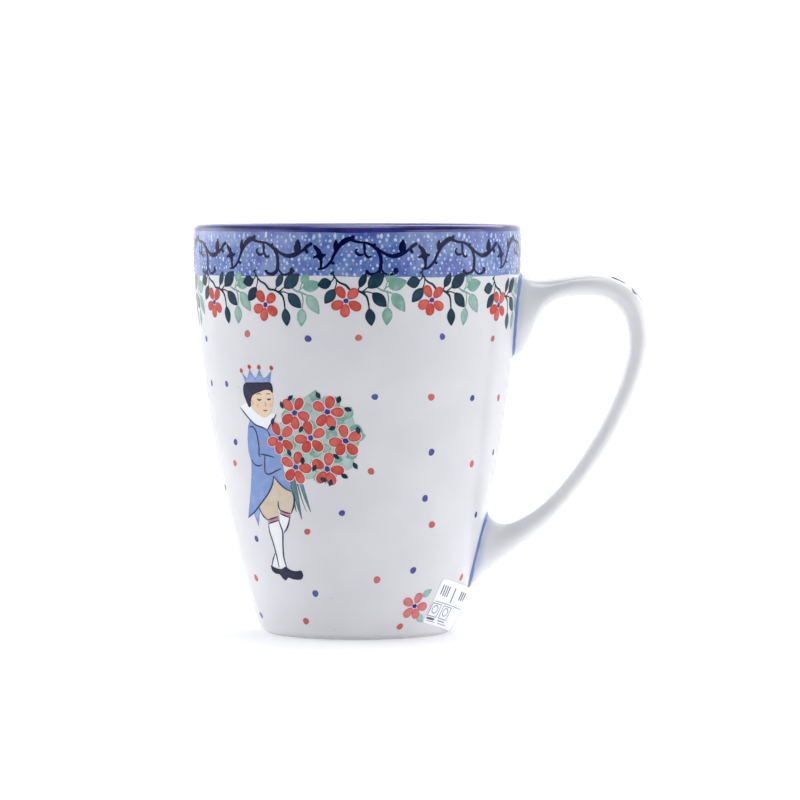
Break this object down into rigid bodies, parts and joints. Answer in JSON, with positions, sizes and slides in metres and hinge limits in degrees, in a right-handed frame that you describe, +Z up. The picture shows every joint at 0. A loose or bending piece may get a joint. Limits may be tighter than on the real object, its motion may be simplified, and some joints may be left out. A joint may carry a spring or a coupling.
{
  "type": "stoneware mug",
  "caption": "Tapered stoneware mug with a looped strap handle, white glaze, a sponged blue band, a cobalt lip and painted folk flowers.",
  "frame": {"origin": "on the cup's axis, in the plane of the foot ring that the mug stands on", "axes": "+Z up along the cup's axis, +X from the axis towards the handle, +Y away from the pictured side, which faces -Y"},
  "size_m": [0.1242, 0.0892, 0.1109],
  "materials": {
    "stoneware": "matte",
    "white_glaze": "gloss",
    "sponged_blue_glaze": "gloss",
    "cobalt_glaze": "gloss",
    "joint_slip": "gloss",
    "label_paper": "satin",
    "ink_blue_paint": "gloss",
    "coral_paint": "gloss",
    "violet_paint": "gloss",
    "dark_leaf_paint": "gloss",
    "pale_leaf_paint": "gloss",
    "sky_blue_paint": "gloss",
    "sand_paint": "gloss",
    "label_ink": "matte"
  },
  "bodies": {
    "root": {"stoneware_cup": "stoneware", "outer_glaze": "white_glaze", "sponged_band": "sponged_blue_glaze", "cobalt_lip": "cobalt_glaze", "inner_glaze": "white_glaze", "foot_glaze": "white_glaze", "stoneware_handle": "stoneware", "handle_glaze": "white_glaze", "upper_slip_joint": "joint_slip", "lower_slip_joint": "joint_slip", "paper_label": "label_paper"}
  },
  "joints": []
}
